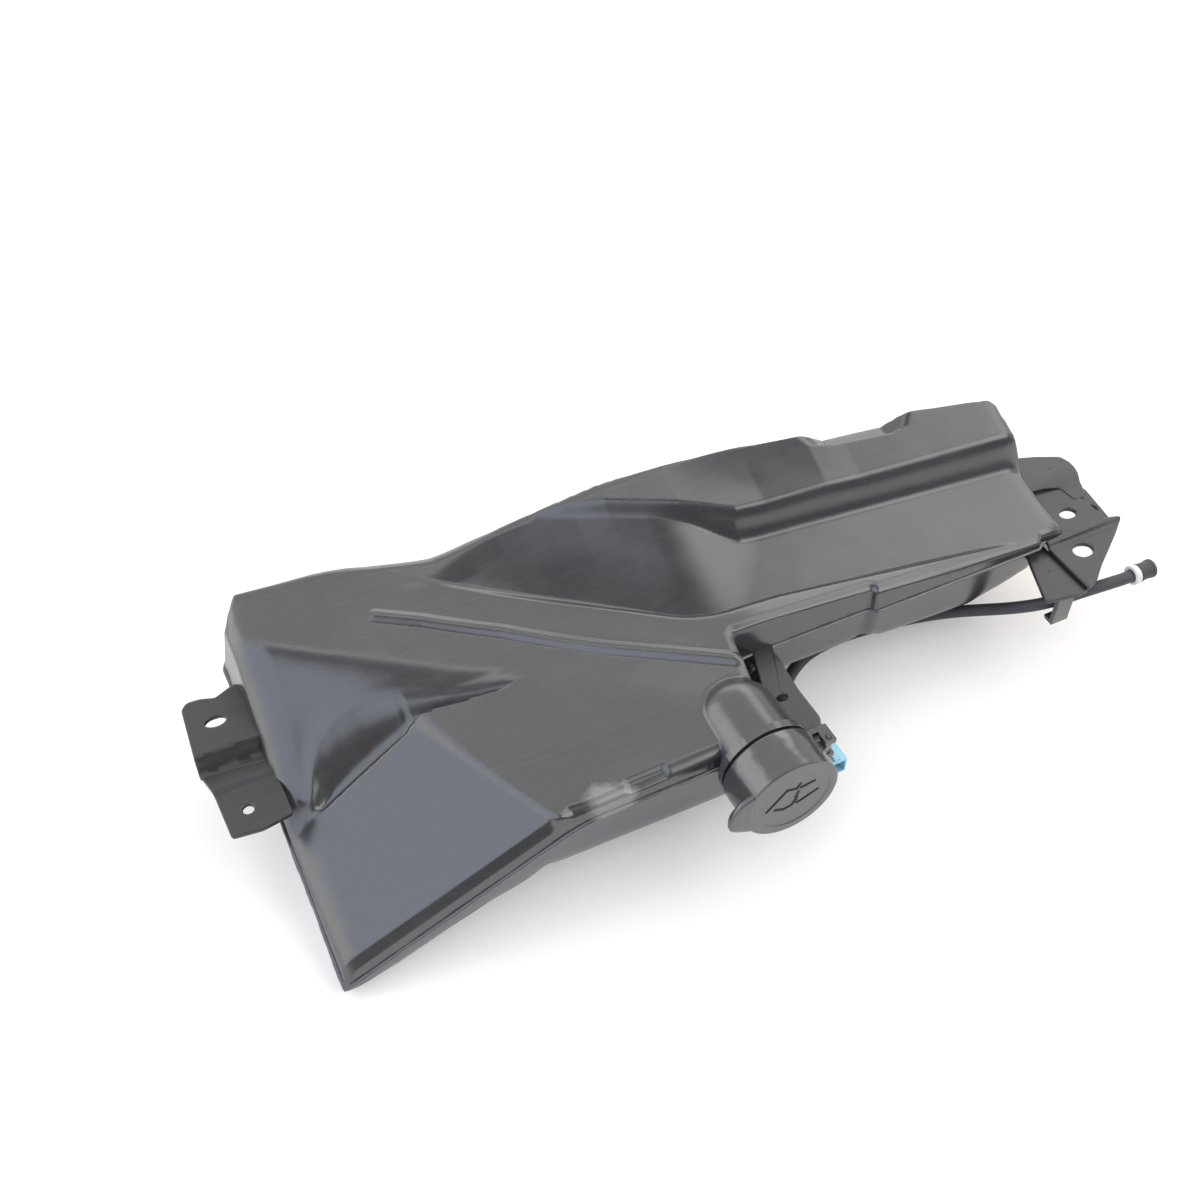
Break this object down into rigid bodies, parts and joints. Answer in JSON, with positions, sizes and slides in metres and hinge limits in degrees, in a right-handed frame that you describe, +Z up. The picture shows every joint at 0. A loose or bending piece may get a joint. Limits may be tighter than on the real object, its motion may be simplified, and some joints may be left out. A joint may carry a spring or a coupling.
{
  "type": "windscreen washer fluid reservoir",
  "caption": "Blow-moulded windscreen washer tank with a hinged snap filler cap, a plug-in washer pump and its hose, end brackets and a shaped recess along its top",
  "frame": {"origin": "centre of the footprint of the tank and its rigid fittings on the floor it lies on, without the hose", "axes": "+X runs along the tank towards the right-hand bracket, +Y away from the filler neck towards the far edge, +Z up from the floor"},
  "size_m": [0.591, 0.2489, 0.1332],
  "materials": {
    "black_polyethylene": "satin",
    "black_cap_plastic": "satin",
    "black_rubber": "matt",
    "pump_plastic": "matt",
    "strainer_nylon": "matt",
    "connector_blue": "satin",
    "motor_steel": "zinc plated",
    "core_steel": "bare laminations",
    "copper": "bare copper",
    "brass": "bare",
    "ferrite": "matt",
    "carbon": "matt",
    "white_band": "satin"
  },
  "bodies": {
    "tank_body": {"tank": "black_polyethylene", "left_bracket": "black_polyethylene", "right_bracket": "black_polyethylene", "cap_collar": "black_cap_plastic", "pump_housing": "pump_plastic", "motor_case": "pump_plastic", "motor_can": "motor_steel", "motor_end_cap": "pump_plastic", "pump_connector": "connector_blue", "left_terminal": "brass", "right_terminal": "brass", "left_magnet": "ferrite", "right_magnet": "ferrite", "left_brush": "carbon", "right_brush": "carbon", "rear_bush": "brass", "front_bush": "brass", "shaft_seal": "black_rubber", "pump_grommet": "black_rubber", "pump_strainer": "strainer_nylon", "hose": "black_rubber", "hose_band": "white_band", "hose_sleeve": "black_rubber"},
    "cap_body": {"filler_cap": "black_cap_plastic", "cap_seal": "black_rubber"},
    "rotor_body": {"motor_shaft": "motor_steel", "commutator": "copper", "armature": "core_steel", "impeller": "pump_plastic"}
  },
  "joints": [
    {"name": "cap_hinge", "type": "hinge", "parent": "tank_body", "child": "cap_body", "pos_m": [0.0255, -0.1016, 0.075], "axis": [0, 0, 1], "range_deg": [0, 110]},
    {"name": "pump_rotor", "type": "hinge", "parent": "tank_body", "child": "rotor_body", "pos_m": [0.0305, -0.0636, 0.046], "axis": [0, 1, 0], "continuous": true}
  ]
}
